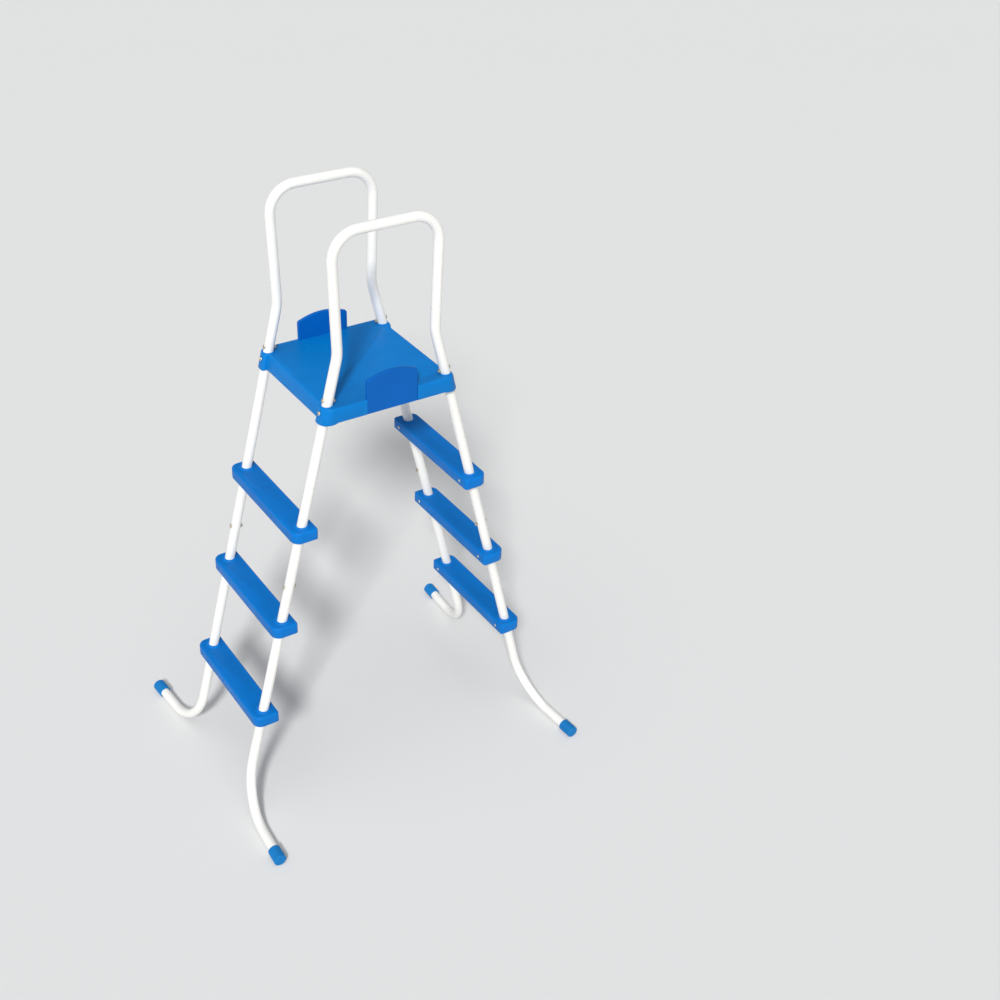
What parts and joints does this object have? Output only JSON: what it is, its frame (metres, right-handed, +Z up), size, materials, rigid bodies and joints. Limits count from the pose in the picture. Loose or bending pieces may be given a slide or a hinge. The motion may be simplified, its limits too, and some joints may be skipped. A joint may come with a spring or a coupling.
{
  "type": "pool ladder",
  "caption": "A-frame ladder that stands astride a pool wall, with hollow plastic treads, a platform, side guards and bent tube handrails.",
  "frame": {"origin": "on the ground, in the middle between the four feet", "axes": "+Z up, +Y from the garden side to the water side, +X to the right of a person who climbs in"},
  "size_m": [0.892, 1.0636, 1.7622],
  "materials": {
    "white_tube": "gloss",
    "blue_tread": "satin",
    "blue_deck": "satin",
    "dark_blue_guard": "satin",
    "blue_cap": "satin",
    "zinc_steel": "satin"
  },
  "bodies": {
    "root": {"garden_left_lower_leg": "white_tube", "garden_left_upper_leg": "white_tube", "garden_left_foot_cap": "blue_cap", "garden_left_leg_joint_bolt": "zinc_steel", "garden_left_leg_joint_nut": "zinc_steel", "garden_left_deck_bolt": "zinc_steel", "garden_left_deck_nut": "zinc_steel", "garden_left_handrail_bolt": "zinc_steel", "garden_left_handrail_nut": "zinc_steel", "garden_left_tread_1_screw": "zinc_steel", "garden_left_tread_2_screw": "zinc_steel", "garden_left_tread_3_screw": "zinc_steel", "garden_right_lower_leg": "white_tube", "garden_right_upper_leg": "white_tube", "garden_right_foot_cap": "blue_cap", "garden_right_leg_joint_bolt": "zinc_steel", "garden_right_leg_joint_nut": "zinc_steel", "garden_right_deck_bolt": "zinc_steel", "garden_right_deck_nut": "zinc_steel", "garden_right_handrail_bolt": "zinc_steel", "garden_right_handrail_nut": "zinc_steel", "garden_right_tread_1_screw": "zinc_steel", "garden_right_tread_2_screw": "zinc_steel", "garden_right_tread_3_screw": "zinc_steel", "garden_tread_1": "blue_tread", "garden_tread_2": "blue_tread", "garden_tread_3": "blue_tread", "water_left_lower_leg": "white_tube", "water_left_upper_leg": "white_tube", "water_left_foot_cap": "blue_cap", "water_left_leg_joint_bolt": "zinc_steel", "water_left_leg_joint_nut": "zinc_steel", "water_left_deck_bolt": "zinc_steel", "water_left_deck_nut": "zinc_steel", "water_left_handrail_bolt": "zinc_steel", "water_left_handrail_nut": "zinc_steel", "water_left_tread_1_screw": "zinc_steel", "water_left_tread_2_screw": "zinc_steel", "water_left_tread_3_screw": "zinc_steel", "water_right_lower_leg": "white_tube", "water_right_upper_leg": "white_tube", "water_right_foot_cap": "blue_cap", "water_right_leg_joint_bolt": "zinc_steel", "water_right_leg_joint_nut": "zinc_steel", "water_right_deck_bolt": "zinc_steel", "water_right_deck_nut": "zinc_steel", "water_right_handrail_bolt": "zinc_steel", "water_right_handrail_nut": "zinc_steel", "water_right_tread_1_screw": "zinc_steel", "water_right_tread_2_screw": "zinc_steel", "water_right_tread_3_screw": "zinc_steel", "water_tread_1": "blue_tread", "water_tread_2": "blue_tread", "water_tread_3": "blue_tread", "platform_deck": "blue_deck", "left_side_guard": "dark_blue_guard", "left_handrail": "white_tube", "right_side_guard": "dark_blue_guard", "right_handrail": "white_tube"}
  },
  "joints": []
}
